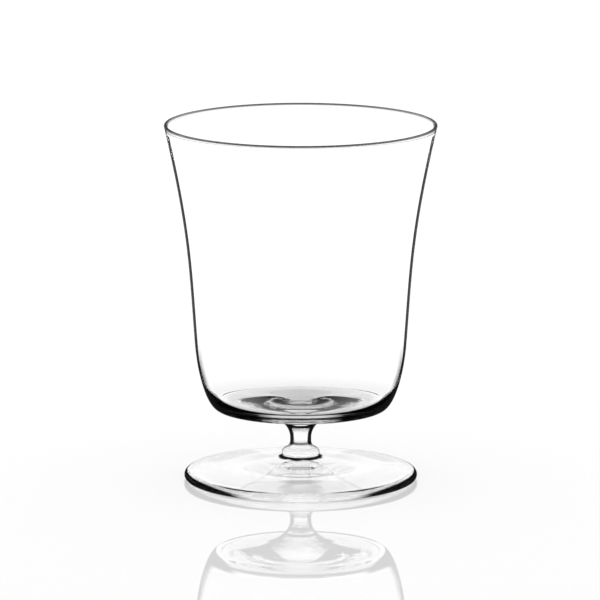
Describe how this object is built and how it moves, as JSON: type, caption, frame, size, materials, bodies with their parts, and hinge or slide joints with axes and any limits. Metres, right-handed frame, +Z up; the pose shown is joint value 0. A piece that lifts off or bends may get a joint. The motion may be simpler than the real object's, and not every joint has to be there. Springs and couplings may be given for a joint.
{
  "type": "punch glass",
  "caption": "Low footed punch glass of clear thin blown glass, with a flared bowl, a rounded heel, a short knopped stem and a broad round foot.",
  "frame": {"origin": "centre of the foot, on the surface that the glass stands on", "axes": "+Z up along the glass's own axis of revolution, from the foot to the rim; every direction across it is alike"},
  "size_m": [0.0832, 0.0832, 0.11],
  "materials": {
    "clear_glass": "clear colourless blown glass, fire-polished, with faint rings left by turning"
  },
  "bodies": {
    "root": {"bowl": "clear_glass", "stem": "clear_glass", "foot": "clear_glass"}
  },
  "joints": []
}
